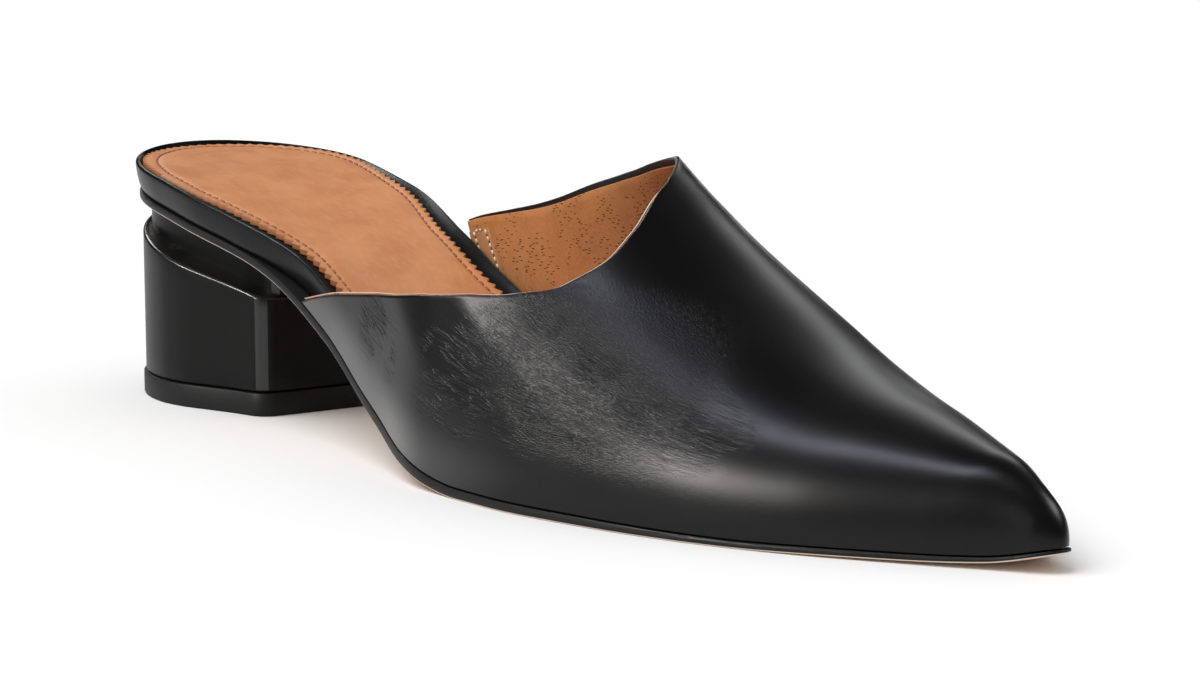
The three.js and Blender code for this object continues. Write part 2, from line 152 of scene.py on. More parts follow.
def shareAt(x):
    # share of the way to the toe at a length
    return math.acos(1 - 2 * x / last["length"]) / math.pi


def roundEnd(distance, arc, power=2.0):
    if distance >= arc:
        return 1.0
    return (1 - (1 - max(distance, 0.0) / arc) ** power) ** (1 / power)


def soleAxis(x):
    start = last["driftStart"] * last["length"]
    return last["toeDrift"] * max(0.0, (x - start) / (last["length"] - start)) ** 2


def slopeStretch(x):
    return math.hypot(1, (soleBottom(x + 1) - soleBottom(x - 1)) / 2)


def outsoleTop(x):
    return soleBottom(x) + last["outsole"] * outsoleShare(x) * slopeStretch(x)


def footbedBottom(x):
    return outsoleTop(x) + last["seam"]


def footbedTop(x):
    return footbedBottom(x) + last["footbed"] * footbedShare(x) * slopeStretch(x)


def planStation(v, inset, toeStop=0.0):
    # length, lateral edge and medial edge at a share of the way to the toe
    toeEnd = last["length"] - last["toePull"] * inset - toeStop
    x = lerp(inset, toeEnd, (1 - math.cos(math.pi * v)) / 2)
    ends = roundEnd(x - inset, last["heelArc"]) * roundEnd(toeEnd - x, last["toeArc"] + toeStop)
    setIn = inset * lerp(1, last["toeTuck"], ramp(x / last["length"], *last["tuckRun"]))
    axis = soleAxis(x)
    return x, axis - (lateralBody(x) - setIn) * ends, axis + (medialBody(x) - setIn) * ends


def footbedInset(x, side):
    hidden = last["lip"] + last["wall"] + last["seam"]
    end = last["coverMedial" if side > 0 else "coverLateral"] * last["length"]
    return lerp(-last["rimOverhang"], hidden, ramp(x, end - last["coverLength"], end))


def sockDraw(x, side):
    # the sock leaves the rim's line at the waist
    out, back = ([share * last["length"] for share in last[key]] for key in ("drawOut", "drawBack"))
    return last["sockDraw"][side] * (ramp(x, *out) - ramp(x, *back))


def place(point):
    return (Vector(point) + last["middle"]) * mm


def evenShares(count, inset, toeStop=0.0):
    # shares of the way to the toe that lie at even steps along each edge
    found, fine = {}, 600
    for side, column in ((-1, 1), (1, 2)):
        dense = [planStation(i / fine, inset, toeStop) for i in range(fine + 1)]
        run = [0.0]
        for a, b in zip(dense, dense[1:]):
            run.append(run[-1] + math.hypot(b[0] - a[0], b[column] - a[column]))
        shares = []
        for k in range(count + 1):
            want = run[-1] * k / count
            i = min(max(bisect.bisect_left(run, want), 1), fine)
            t = (want - run[i - 1]) / (run[i] - run[i - 1])
            shares.append((i - 1 + t) / fine)
        found[side] = shares
    return found, run[-1]


def finishMesh(bm, name, materials, smoothAngle):
    bmesh.ops.recalc_face_normals(bm, faces=bm.faces)
    mesh = bpy.data.meshes.new(name)
    bm.to_mesh(mesh)
    bm.free()
    mesh.polygons.foreach_set("use_smooth", [True] * len(mesh.polygons))
    mesh.set_sharp_from_angle(angle=math.radians(smoothAngle))
    for material in materials:
        mesh.materials.append(material)
    piece = bpy.data.objects.new(name, mesh)
    bpy.context.scene.collection.objects.link(piece)
    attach(piece, "root")
    return piece


wrapSettings = {"spineBack": 14.0, "spineFront": 5.0, "weld": 1e-6}


def wrapOutline(profile, count, toeStop=0.0, dish=None, teeth=None):
    # a closed solid whose columns go once round the sole's outline; each row of the profile is
    # how far in it lies on the way to the spine, how far it is set in, and its height
    shares = evenShares(count, 0.0, toeStop)[0]
    back, front = wrapSettings["spineBack"], wrapSettings["spineFront"]
    toeEnd = last["length"] - toeStop
    bm = bmesh.new()
    bmesh.ops.create_grid(bm, x_segments=2 * count, y_segments=len(profile) - 1, size=0.5)
    spine = []
    for k in range(count + 1):
        x = sum(planStation(shares[side][k], 0.0, toeStop)[0] for side in (-1, 1)) / 2
        x = back + x * (toeEnd - front - back) / toeEnd
        lean = (medialBody(x) - lateralBody(x)) * roundEnd(toeEnd - x, last["toeArc"] + toeStop)
        spine.append((x, soleAxis(x) + lean / 2))
    spine[count] = spine[count - 1]  # or the tip's last two faces fold onto each other
    for vert in bm.verts:
        i = round((vert.co.x + 0.5) * 2 * count)
        j = round((vert.co.y + 0.5) * (len(profile) - 1))
        side = -1 if i <= count else 1
        k = i if i <= count else 2 * count - i
        share, insetAt, heightAt = profile[j]
        v = shares[side][k]
        inset = insetAt(planStation(v, 0.0, toeStop)[0], side)
        if teeth and j in teeth["rows"]:
            inset += teeth["depth"] * (k % 2)
        x, low, high = planStation(v, inset, toeStop)
        y = low if side < 0 else high
        if k in (0, count):
            y = (low + high) / 2
        x, y = lerp(x, spine[k][0], share), lerp(y, spine[k][1], share)
        z = heightAt(x)
        if dish and share >= 0:
            z -= dish(x, y, j)
        vert.co = place((x, y, z))
    bmesh.ops.remove_doubles(bm, verts=bm.verts, dist=wrapSettings["weld"])
    return bm


def acrossDish(x, y):
    # hollow of the footbed at a place on it
    low, high = soleAxis(x) - lateralBody(x), soleAxis(x) + medialBody(x)
    t = min(max((y - low) / (high - low), 0.0), 1.0)
    return last["dish"] * ramp(high - low, 0, last["dishWidth"] * last["seat"]) * 4 * t * (1 - t)


# Upper: outer leather with a rounded cut edge, and a lining trimmed a little lower
upperSettings = {
    "rows": 120, "columns": 132, "outerLeather": 1.05, "liningGap": 0.06,
    "edgeRound": 0.34, "wallFullness": 0.75, "topFullness": 0.45, "sideSwell": 0.04,
    "squareUntil": 0.80, "levelFrom": 0.92, "rowSpread": 1.12, "edgeRows": 4,
    "girthLength": 150.0, "sheetAcross": 1.8, "sheetUnit": 100.0, "weld": 1e-7,
}


def upperSection(v, girth, depth):
    # a point of the wall's cross section, one curve from the hem up to the ridge on each side
    x, low, high = planStation(v, last["lip"] + depth)
    toeEnd = last["length"] - last["toePull"] * (last["lip"] + depth)
    base = outsoleTop(x) + last["seam"]
    slope = (ridgeRise(x + 1) - ridgeRise(x - 1)) / 2
    height = (ridgeRise(x) - depth * math.hypot(1, slope)) * roundEnd(toeEnd - x, last["nose"])
    side = -1 if girth < 0.5 else 1
    footY = low if girth < 0.5 else high
    noseward = ramp(x, upperSettings["levelFrom"] * last["length"], toeEnd)
    ridgeY = lerp(last["ridgeOffset"], (low + high) / 2, noseward)
    half = abs(footY - ridgeY)
    t = 2 * girth if girth < 0.5 else 2 * (1 - girth)
    wall = upperSettings["wallFullness"]
    ys = (footY, footY + side * upperSettings["sideSwell"] * height,
          ridgeY + side * upperSettings["topFullness"] * half, ridgeY)
    zs = (base, base + wall * height, base + height, base + height)
    mix = ((1 - t) ** 3, 3 * t * (1 - t) ** 2, 3 * t * t * (1 - t), t ** 3)
    return Vector((x, sum(m * y for m, y in zip(mix, ys)), sum(m * z for m, z in zip(mix, zs))))


def upperNormal(v, girth):
    # both neighbours are taken on the same side of the ridge
    step, ridgeEnd = 1e-3, 0.4999
    run = upperSection(min(v + step, 1), girth, 0) - upperSection(v - step, girth, 0)
    low, high = max(girth - step, 0), min(girth + step, 1)
    if girth < 0.5:
        high = min(high, ridgeEnd)
        low = min(low, high - step)
    else:
        low = max(low, 0.5)
        high = max(high, low + step)
    across = upperSection(v, high, 0) - upperSection(v, low, 0)
    normal = run.cross(across)
    return normal.normalized() if normal.length > 1e-9 else Vector((0, 0, 1))


def upperInside(v, girth, normal):
    # square to the outside, but level with it toward the nose
    levelled = upperSection(v, girth, last["wall"])
    outside = upperSection(v, girth, 0)
    squareEnd, levelStart = (upperSettings[key] * last["length"] for key in ("squareUntil", "levelFrom"))
    noseward = ramp(outside.x, squareEnd, levelStart)
    if noseward == 1:
        return levelled
    return (outside - normal * last["wall"]).lerp(levelled, noseward)


backCorner = toplineRows[-1][0]  # girth where the topline ends and the medial back edge starts


def backEdge(girth):
    # where the medial back edge, or the line that carries it on upward, lies along the shoe
    down = (girth - backCorner) / (1 - backCorner)
    return lerp(toplineBegin(backCorner), medialHem * last["length"], down)


def upperBegin(girth):
    return toplineBegin(girth) if girth <= backCorner else backEdge(girth)


# Soft folds of the vamp and quarters: where each starts and ends (share of length, girth),
# how wide it is, and how deep in millimetres; a negative depth is a ridge
folds = [
    {"start": (0.40, 0.035), "end": (0.50, 0.105), "width": 2.6, "depth": 0.16},
    {"start": (0.42, 0.075), "end": (0.54, 0.060), "width": 2.2, "depth": 0.14},
    {"start": (0.50, 0.115), "end": (0.60, 0.080), "width": 2.4, "depth": 0.22},
    {"start": (0.52, 0.135), "end": (0.64, 0.100), "width": 2.6, "depth": 0.24},
    {"start": (0.53, 0.150), "end": (0.66, 0.125), "width": 3.4, "depth": -0.20},
    {"start": (0.57, 0.165), "end": (0.70, 0.130), "width": 2.8, "depth": 0.20},
    {"start": (0.60, 0.185), "end": (0.72, 0.155), "width": 3.6, "depth": -0.14},
    {"start": (0.64, 0.890), "end": (0.55, 0.930), "width": 3.0, "depth": 0.22},
    {"start": (0.68, 0.850), "end": (0.58, 0.900), "width": 3.4, "depth": 0.20},
]


def foldDepth(x, girth):
    # how far the leather goes in at a place, from all the folds; each fades out past its two ends
    total = 0.0
    girthLength = upperSettings["girthLength"]
    fadeIn, fadeOut, reach = (-0.25, 0.3), (0.7, 1.25), 3
    for fold in folds:
        ax, ag = fold["start"][0] * last["length"], fold["start"][1] * girthLength
        bx, bg = fold["end"][0] * last["length"], fold["end"][1] * girthLength
        dx, dg = bx - ax, bg - ag
        t = ((x - ax) * dx + (girth * girthLength - ag) * dg) / (dx * dx + dg * dg)
        away = math.hypot(x - ax - t * dx, girth * girthLength - ag - t * dg)
        if fadeIn[0] < t < fadeOut[1] and away < reach * fold["width"]:
            ends = ramp(t, *fadeIn) * (1 - ramp(t, *fadeOut))
            total += fold["depth"] * ends * hill(away, 0, fold["width"])
    return total


def upperPoint(v, girth, depth, folded):
    # a point of the wall, depth millimetres in from its outer face
    outside = upperSection(v, girth, 0)
    normal = upperNormal(v, girth)
    point = outside.lerp(upperInside(v, girth, normal), depth / last["wall"])
    if folded:
        point = point - normal * foldDepth(outside.x, girth)
    return point


def girthAt(k, columns):
    # the columns are even up to the corner of the medial back edge, and the last is its hem
    return 1.0 if k == columns else backCorner * k / (columns - 1)


def wrapWall(rows, columns, outer, inner, startAt, edgeRound, edgeRows):
    # a closed wall between two depths: each row is a ring, out over the ridge and back on the inside
    s = upperSettings
    around = 2 * columns + 2
    total = rows + edgeRows
    bm = bmesh.new()
    layer = bm.loops.layers.uv.new("leather")
    bmesh.ops.create_grid(bm, x_segments=around, y_segments=total, size=0.5)
    middle, half = (outer + inner) / 2, (inner - outer) / 2
    table = {}
    for vert in bm.verts:
        c = round((vert.co.x + 0.5) * around) % around
        j = round((vert.co.y + 0.5) * total)
        isInner = c > columns
        girth = girthAt(2 * columns + 1 - c if isInner else c, columns)
        start, spread, share = startAt(girth), 1.0, 0.0
        if j < edgeRows:
            angle = math.pi / 2 * j / edgeRows
            start -= edgeRound * math.cos(angle)
            spread = math.sin(angle)
        else:
            share = (j - edgeRows) / rows
        v = lerp(shareAt(upperBegin(girth) + start), 1.0, share ** s["rowSpread"])
        depth = middle + half * spread * (1 if isInner else -1)
        fromEdge = upperSection(v, girth, 0).x - upperBegin(girth)
        table[vert] = (j, s["sheetAcross"] * girth, fromEdge / s["sheetUnit"])
        vert.co = place(upperPoint(v, girth, depth, True))
    for face in bm.faces:
        face.material_index = 1 if max(table[vert][0] for vert in face.verts) <= edgeRows else 0
        for loop in face.loops:
            loop[layer].uv = table[loop.vert][1:]
    bmesh.ops.remove_doubles(bm, verts=bm.verts, dist=s["weld"])
    return bm


# Finishes: shader maths as plain expressions
class Wire:
    def __init__(self, maker, socket):
        self.maker, self.socket = maker, socket

    def math(self, operation, other=0.0, flip=False, clamp=False):
        pair = (other, self) if flip else (self, other)
        return self.maker.add("ShaderNodeMath", {"operation": operation, "use_clamp": clamp},
                              {0: pair[0], 1: pair[1]})

    def __add__(self, other):
        return self.math("ADD", other)

    __radd__ = __add__

    def __sub__(self, other):
        return self.math("SUBTRACT", other)

    def __rsub__(self, other):
        return self.math("SUBTRACT", other, flip=True)

    def __mul__(self, other):
        return self.math("MULTIPLY", other)

    __rmul__ = __mul__

    def between(self, low, high):
        # 0 below low, 1 above high, soft between
        return self.maker.add("ShaderNodeMapRange", {"interpolation_type": "SMOOTHSTEP"},
                              {"Value": self, "From Min": low, "From Max": high})


class Finish:
    # one material; add makes a node from its type, settings and sockets and gives one of its outputs
    def __init__(self, name):
        self.material = bpy.data.materials.new(name)
        self.material.use_nodes = True
        self.tree = self.material.node_tree
        self.shader = next(n for n in self.tree.nodes if n.type == "BSDF_PRINCIPLED")
        self.place = self.add("ShaderNodeTexCoord", {}, {}, "Object")

    def add(self, kind, settings=None, inputs=None, output=0):
        node = self.tree.nodes.new(kind)
        for key, value in (settings or {}).items():
            setattr(node, key, value)
        for key, value in (inputs or {}).items():
            self.feed(node.inputs[key], value)
        return Wire(self, node.outputs[output])

    def feed(self, socket, value):
        if isinstance(value, Wire):
            self.tree.links.new(value.socket, socket)
        elif isinstance(value, tuple) and len(value) == 3 and socket.type == "RGBA":
            socket.default_value = (*value, 1.0)
        else:
            socket.default_value = value

    def set(self, **values):
        for key, value in values.items():
            self.feed(self.shader.inputs[key.replace("_", " ")], value)

    def mix(self, factor, low, high):
        return self.add("ShaderNodeMix", {"data_type": "RGBA"}, {0: factor, 6: low, 7: high}, 2)

    def noise(self, scale, detail=3.0, rough=0.5, vector=None):
        return self.add("ShaderNodeTexNoise", {}, {"Vector": vector or self.place, "Scale": scale,
                                                   "Detail": detail, "Roughness": rough})

    def cells(self, scale, settings=None, vector=None):
        return self.add("ShaderNodeTexVoronoi", settings,
                        {"Vector": vector or self.place, "Scale": scale})

    def turned(self, angles, scale):
        return self.add("ShaderNodeMapping", {},
                        {"Vector": self.place, "Rotation": angles, "Scale": scale})

    def bump(self, height, strength, distance):
        self.set(Normal=self.add("ShaderNodeBump", {}, {"Height": height, "Strength": strength,
                                                        "Distance": distance}))


def blob(finish, middle, radius):
    # 1 near a place on the shoe, 0 away from it
    away = finish.add("ShaderNodeVectorMath", {"operation": "DISTANCE"},
                      {0: finish.place, 1: middle}, 1)
    return 1.0 - away.between(radius * 0.25, radius)


# where the leather is wrinkled: share of the shoe's length, girth, radius in metres, strength
wrinkleZones = [
    (0.450, 0.050, 0.009, 0.9), (0.480, 0.050, 0.009, 0.9), (0.560, 0.072, 0.011, 1.0),
    (0.590, 0.070, 0.011, 1.0), (0.605, 0.115, 0.012, 0.9), (0.650, 0.120, 0.016, 0.9),
    (0.655, 0.160, 0.013, 0.8), (0.700, 0.150, 0.013, 0.7), (0.745, 0.172, 0.014, 0.45),
    (0.785, 0.185, 0.012, 0.25), (0.585, 0.930, 0.020, 0.8),
]
# and where it is finely pebbled
grainZones = [
    (0.643, 0.185, 0.018, 0.8), (0.681, 0.150, 0.020, 1.0), (0.727, 0.171, 0.018, 0.7),
    (0.720, 0.290, 0.018, 0.6), (0.640, 0.880, 0.024, 0.8),
]


def zoneMask(f, zones, start):
    total = start
    for share, girth, radius, strength in zones:
        middle = place(upperSection(shareAt(share * last["length"]), girth, 0))
        total = blob(f, middle, radius) * strength + total
    return total.math("MINIMUM", 1.0)


def makeUpperLeather():
    f = Finish("upper leather")
    sheet = f.add("ShaderNodeUVMap", {"uv_map": "leather"})
    pores = f.noise(2300.0, 2.0)
    cloudy = f.noise(34.0, 3.0)
    bend = f.noise(260.0, 2.0)

    def stretched(turn, across, lengthwise):
        # cells of the sheet, across and lengthwise in cells per 100 mm
        return f.add("ShaderNodeMapping", {"vector_type": "TEXTURE"},
                     {"Vector": sheet, "Rotation": (0.0, 0.0, math.radians(turn)),
                      "Scale": (1 / across, 1 / lengthwise, 1.0)})

    def lines(turn, across, lengthwise, width):
        # long creases, where a stretched noise passes its middle value
        cloth = f.noise(1.0, 1.5, 0.55, vector=stretched(turn, across, lengthwise))
        return 1.0 - (cloth - 0.5).math("ABSOLUTE").between(0.0, width)

    fine = lines(-8.0, 130.0, 10.0, 0.050)
    coarse = lines(6.0, 70.0, 5.5, 0.028)
    cells = f.cells(1.0, {"feature": "DISTANCE_TO_EDGE"}, stretched(-6.0, 210.0, 110.0))
    pebbles = cells.between(0.0, 0.35)
    streaks = f.noise(1.0, 3.0, 0.6, stretched(-4.0, 150.0, 16.0))
    wrinkled = zoneMask(f, wrinkleZones, 0.0)
    pebbled = zoneMask(f, grainZones, 0.06)
    patchy = f.noise(110.0, 3.0, 0.6).between(0.38, 0.56)
    creased = wrinkled * patchy
    height = 0.07 * pores + 0.40 * (pebbled * pebbles) + 0.30 * ((wrinkled + pebbled) * streaks)
    height = height - 0.60 * (creased * fine) - 0.70 * (creased * coarse) + 0.16 * (bend * pebbled)
    f.bump(height, 0.85, 0.00012)
    # the quarter is more polished where it turns in over the arch
    around, run = (f.add("ShaderNodeSeparateXYZ", {}, {"Vector": sheet}, i) for i in (0, 1))
    arch = (1.0 - around.between(0.005, 0.075)) * (1.0 - run.between(0.45, 0.80))
    blacks = (0.0042, 0.0040, 0.0041), (0.0068, 0.0064, 0.0064)
    f.set(Base_Color=f.mix(cloudy.between(0.35, 0.7), *blacks), Specular_IOR_Level=0.20,
          Roughness=0.27 + 0.07 * cloudy + 0.12 * pebbled,
          Coat_Weight=0.04 + 0.9 * arch, Coat_Roughness=0.24)
    return f.material


def makeWrapLeather():
    f = Finish("wrapped rim leather")
    grain = f.cells(1100.0, {"feature": "DISTANCE_TO_EDGE"})
    cloudy = f.noise(60.0)
    f.bump(0.15 * grain.between(0.0, 0.3) + 0.5 * cloudy, 0.4, 0.00015)
    f.set(Base_Color=f.mix(cloudy, (0.0046, 0.0046, 0.0048), (0.0085, 0.0085, 0.0087)),
          Roughness=0.26 + 0.12 * cloudy, Specular_IOR_Level=0.14)
    return f.material


# pale edge: the lining's bare cut edge, and on the outsole's lower bevel partly a painted highlight
def makePaleEdgeAndHighlight():
    f = Finish("pale cut edge and painted highlight")
    f.set(Base_Color=f.mix(f.noise(420.0), (0.60, 0.49, 0.41), (0.78, 0.68, 0.60)), Roughness=0.55)
    return f.material


def makeEdgeInk():
    f = Finish("inked sole edge")
    layers = f.noise(1.0, 3.0, 0.5, vector=f.turned((0, 0, 0), (120.0, 120.0, 2600.0)))
    f.bump(layers, 0.35, 0.0002)
    f.set(Base_Color=f.mix(layers, (0.0060, 0.0058, 0.0056), (0.0110, 0.0105, 0.0100)),
          Roughness=0.34 + 0.16 * layers, Specular_IOR_Level=0.22)
    return f.material


def makeUnderside():
    f = Finish("natural sole leather")
    mottled = f.noise(70.0, 5.0, 0.6)
    fibre = f.noise(1600.0, 2.0)
    f.bump(0.6 * fibre + 0.4 * mottled, 0.3, 0.0002)
    f.set(Base_Color=f.mix(mottled, (0.50, 0.30, 0.155), (0.66, 0.43, 0.25)),
          Roughness=0.5 + 0.2 * mottled)
    return f.material


def makeHard(name, blacks, clouds, grain, rough, specular):
    # lacquer or rubber: faint clouds, and a fine grain given by its scale, strength and distance
    f = Finish(name)
    cloudy = f.noise(*clouds)
    f.bump(f.noise(grain[0], 2.0), *grain[1:])
    f.set(Base_Color=f.mix(cloudy, *blacks), Roughness=rough[0] + rough[1] * cloudy,
          Specular_IOR_Level=specular)
    return f.material


def makeSockTan():
    f = Finish("tan sock leather")
    mottled = f.noise(90.0, 5.0, 0.6)
    fibre = f.noise(1.0, 4.0, 0.6, vector=f.turned((0, 0, 0.2), (260.0, 900.0, 900.0)))
    pores = f.cells(1300.0)
    base = f.mix(mottled.between(0.3, 0.7), (0.530, 0.204, 0.076), (0.620, 0.258, 0.100))
    base = f.mix(0.35 * fibre.between(0.45, 0.75), base, (0.690, 0.340, 0.160))
    f.bump(0.5 * fibre + 0.3 * pores, 0.30, 0.00018)
    f.set(Base_Color=base, Roughness=0.42 + 0.16 * mottled, Specular_IOR_Level=0.30)
    return f.material


def makeLiningTan():
    f = Finish("tan lining leather")
    mottled = f.noise(85.0, 5.0, 0.65)
    speckle = f.noise(1500.0, 3.0, 0.7)
    sheet = f.add("ShaderNodeUVMap", {"uv_map": "leather"})
    holes = f.cells(92.0, {"voronoi_dimensions": "2D"}, sheet)
    groups = f.noise(150.0, 2.0, 0.5)
    pin = (1.0 - holes.between(0.10, 0.19)) * groups.between(0.47, 0.53)
    base = f.mix(mottled.between(0.3, 0.7), (0.420, 0.155, 0.042), (0.550, 0.222, 0.070))
    base = f.mix(0.45 * speckle.between(0.4, 0.7), base, (0.600, 0.270, 0.095))
    forward = f.add("ShaderNodeSeparateXYZ", {}, {"Vector": f.place})
    # painted shade: the lining is darker toward the instep, where the vamp shades it
    base = f.mix(0.78 * forward.between(-0.014, 0.020), base, (0.170, 0.043, 0.008))
    base = f.mix(0.95 * pin, base, (0.035, 0.011, 0.004))
    f.bump(0.35 * speckle - 1.0 * pin, 0.5, 0.0003)
    f.set(Base_Color=base, Roughness=0.58 + 0.14 * mottled, Specular_IOR_Level=0.15)
    return f.material


def makePlain(name, low, high, scale, rough, bump=0.0):
    f = Finish(name)
    cloudy = f.noise(scale, 3.0)
    if bump:
        f.bump(cloudy, bump, 0.0002)
    f.set(Base_Color=f.mix(cloudy, low, high), Roughness=rough + 0.1 * cloudy, Specular_IOR_Level=0.30)
    return f.material


upperLeather = makeUpperLeather()
wrapLeather = makeWrapLeather()
paleEdgeAndHighlight = makePaleEdgeAndHighlight()
inkedEdge = makePlain("inked cut edge", (0.006, 0.0055, 0.0055), (0.013, 0.012, 0.012),
                      500.0, 0.30, 0.25)
edgeInk = makeEdgeInk()
soleUnderside = makeUnderside()
heelBlacks = (0.0050, 0.0049, 0.0047), (0.0080, 0.0078, 0.0075)
heelGrain = (900.0, 0.08, 0.0001)
heelPlastic = makeHard("black heel lacquer", heelBlacks, (45.0, 3.0), heelGrain, (0.34, 0.07), 0.12)
heelEdge = makeHard("polished heel edge", heelBlacks, (45.0, 3.0), heelGrain, (0.24, 0.07), 0.60)
topliftRubber = makeHard("black toplift rubber", ((0.0060, 0.0060, 0.0061), (0.0095, 0.0095, 0.0095)),
                         (80.0, 4.0), (1800.0, 0.2, 0.00015), (0.46, 0.12), 0.20)
sockTan = makeSockTan()
liningTan = makeLiningTan()
sockThread = makePlain("brown thread", (0.29, 0.088, 0.028), (0.39, 0.135, 0.048), 900.0, 0.6, 0.4)
# painted shade: the dark beads between the stitches stand for the shade inside the punched holes
stitchHoleShade = makePlain("stitch hole painted shade", (0.030, 0.012, 0.006), (0.060, 0.024, 0.012), 600.0, 0.8)
creamThread = makePlain("cream thread", (0.74, 0.55, 0.38), (0.86, 0.70, 0.53), 900.0, 0.55, 0.4)
stayTan = makePlain("tan stay leather", (0.46, 0.190, 0.070), (0.60, 0.270, 0.110), 420.0, 0.5, 0.35)
print("finishes ready")


# Heel block, its recessed neck and the toplift
heelSettings = {
    "breast": 60.5, "skew": 0.07, "backInset": 2.2, "sideInset": 0.6, "shift": -1.2,
    "dropBack": 4.7, "dropFront": 9.2, "neckSide": 5.8, "neckBack": 1.6, "neckFront": 1.6,
    "edge": 0.7, "toplift": 4.8, "proud": 0.5, "blockArc": 0.54, "neckArc": 0.38,
    "neckPower": 2.3, "corner": 3.2, "steps": 56, "cornerFacing": (0.50, 0.85),
}
# share from back to front, half width of the block and of its neck as shares of the heel's
heelRows = [
    (0.00, 1.000, 1.000), (0.36, 1.000, 1.000), (0.50, 1.000, 0.975), (0.61, 0.980, 0.920),
    (0.72, 0.910, 0.855), (0.84, 0.825, 0.790), (1.00, 0.740, 0.765),
]
blockShare = curveThrough([(row[0], row[1]) for row in heelRows])
neckShare = curveThrough([(row[0], row[2]) for row in heelRows])


def heelPoint(i, side, inset, neck):
    # a point of the block's or the neck's outline; i runs from the back to the middle of the front face
    s = heelSettings
    steps = s["steps"]
    half = last["seat"] / 2 - s["sideInset"] - (s["neckSide"] if neck else inset)
    back = s["backInset"] + (s["neckBack"] if neck else inset)
    front = s["breast"] - (s["neckFront"] if neck else inset)
    at = (1 - math.cos(math.pi * min(i, steps) / steps)) / 2
    x = lerp(back, front, at)
    cut = s["corner"] * (1 - roundEnd(front - x, s["corner"]))
    arc = (s["neckArc"] if neck else s["blockArc"]) * (front - back)
    share = (neckShare if neck else blockShare)(at)
    y = half * share * roundEnd(x - back, arc, s["neckPower"] if neck else 2.0) - cut
    y = s["shift"] + side * y
    if i > steps:
        y = s["shift"]
    return x + s["skew"] * y * at, y


def shelf(x):
    s = heelSettings
    low = soleBottom(s["backInset"]) - s["dropBack"]
    high = soleBottom(s["breast"]) - s["dropFront"]
    return lerp(low, high, (x - s["backInset"]) / (s["breast"] - s["backInset"]))


def wrapHeel(profile):
    # a closed solid from outlines of the heel, drawn in to its middle line at the top and bottom
    steps = heelSettings["steps"]
    around = 2 * (steps + 1)
    bm = bmesh.new()
    bmesh.ops.create_grid(bm, x_segments=around, y_segments=len(profile) - 1, size=0.5)
    for vert in bm.verts:
        c = round((vert.co.x + 0.5) * around) % around
        j = round((vert.co.y + 0.5) * (len(profile) - 1))
        side = -1 if c <= steps + 1 else 1
        i = c if c <= steps + 1 else around - c
        share, inset, neck, heightAt = profile[j]
        x, y = heelPoint(i, side, inset, neck)
        middleX = (heelPoint(i, -1, inset, neck)[0] + heelPoint(i, 1, inset, neck)[0]) / 2
        middleX = lerp(heelSettings["breast"] / 2, middleX, 0.7)
        x, y = lerp(x, middleX, share), lerp(y, heelSettings["shift"], share)
        vert.co = place((x, y, heightAt(x)))
    bmesh.ops.remove_doubles(bm, verts=bm.verts, dist=wrapSettings["weld"])
    return bm


def level(height):
    return lambda x: height


def buildHeel():
    s = heelSettings
    foot = s["toplift"] + last["seam"]
    edge = s["edge"]
    # how far in on the way to the middle line, how far set in, whether it is the neck, height
    rows = [(1, 0.3, False, level(foot)), (0, 0.3, False, level(foot)),
            (0, 0.08, False, level(foot + 0.1)), (0, 0, False, level(foot + 0.3))]
    for t in (0.15, 0.35, 0.55, 0.75, 0.9):
        rows.append((0, 0, False, lambda x, t=t: lerp(foot, shelf(x) - edge, t)))
    for t in (0.0, 0.25, 0.5, 0.75, 1.0):
        angle = math.pi / 2 * t
        rows.append((0, edge * (1 - math.cos(angle)), False,
                     lambda x, a=angle: shelf(x) - edge * (1 - math.sin(a))))
    rows.append((0, 0, True, lambda x: shelf(x) - 0.15))
    rows.append((0, 0, True, lambda x: shelf(x) + 0.4))
    rows.append((0, 0, True, lambda x: lerp(shelf(x), soleBottom(x), 0.5)))
    rows.append((0, 0, True, lambda x: soleBottom(x) - last["seam"]))
    rows.append((1, 0, True, lambda x: soleBottom(x) - last["seam"]))
    bm = wrapHeel(rows)
    bmesh.ops.recalc_face_normals(bm, faces=bm.faces)
    # the shelf's round edge and the two front corners are polished
    low, high = s["cornerFacing"]
    for face in bm.faces:
        normal = face.normal
        corner = abs(normal.z) < 0.3 and low < normal.x < high
        face.material_index = 1 if 0.3 < normal.z < 0.97 or corner else 0
    block = finishMesh(bm, "heelBlock", [heelPlastic, heelEdge], 35)
    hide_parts("heel_block")
    top, proud = s["toplift"], -s["proud"]
    rows = [(1, proud + 0.4, False, level(0)), (0, proud + 0.4, False, level(0)),
            (0, proud + 0.1, False, level(0.12)), (0, proud, False, level(0.45)),
            (0, proud, False, level(top * 0.5)), (0, proud, False, level(top - 0.3)),
            (0, proud + 0.09, False, level(top - 0.09)), (0, proud + 0.3, False, level(top)),
            (1, proud + 0.3, False, level(top))]
    lift = finishMesh(wrapHeel(rows), "topliftPiece", [topliftRubber], 35)
    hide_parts("toplift")


# Outsole: a thin sheet with a softly rounded, inked edge and a natural underside
outsoleSettings = {"round": 0.35, "columns": 190, "underFacing": 0.75, "paleLineFacing": 0.4}


